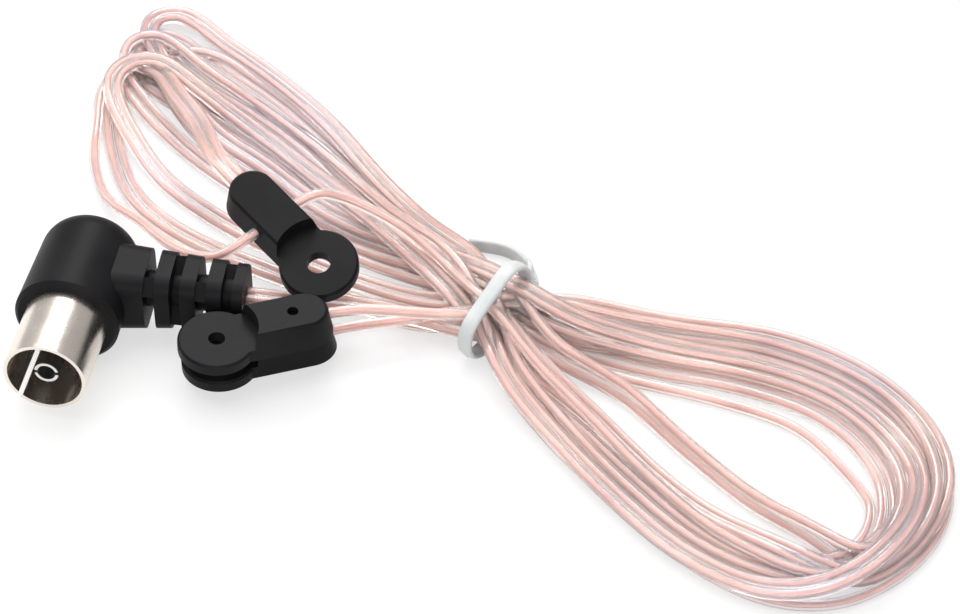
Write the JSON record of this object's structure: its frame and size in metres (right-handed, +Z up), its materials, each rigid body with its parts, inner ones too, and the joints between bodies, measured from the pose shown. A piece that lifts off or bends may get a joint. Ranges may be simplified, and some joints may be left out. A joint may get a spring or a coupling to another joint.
{
  "type": "fm indoor antenna",
  "caption": "Wire T dipole wound in a loose hank: clear twin lead, right-angle coaxial aerial plug, tee clip and eyelet clips on the arm ends, held by a white tie.",
  "frame": {"origin": "centre of the bounding box in plan, on the surface that the hank lies on", "axes": "+X along the hank, from its left loop to its right loop; +Z up from that surface"},
  "size_m": [0.1446, 0.072, 0.0144],
  "materials": {
    "black_moulding": "fine matt",
    "plated_sleeve": "nickel plate",
    "plated_contact": "nickel plate",
    "insulator": "moulded",
    "clear_cable": "clear over copper",
    "copper": "bare stranded",
    "solder": "bright",
    "white_tie": "coated wire"
  },
  "bodies": {
    "root": {"plug_moulding": "black_moulding", "outer_sleeve": "plated_sleeve", "plug_insulator": "insulator", "centre_contact": "plated_contact", "signal_core": "copper", "screen_core": "copper", "contact_joint": "solder", "sleeve_joint": "solder", "feeder_moulded_end": "clear_cable", "feeder_plug_lead": "clear_cable", "feeder_tee_lead": "clear_cable", "arm_right_lead": "clear_cable", "arm_left_lead": "clear_cable", "arm_left_end": "clear_cable", "arm_right_end": "clear_cable", "tee_clip": "black_moulding", "end_clip_upper": "black_moulding", "end_clip_lower": "black_moulding", "cable_hank": "clear_cable", "hank_tie": "white_tie"}
  },
  "joints": []
}
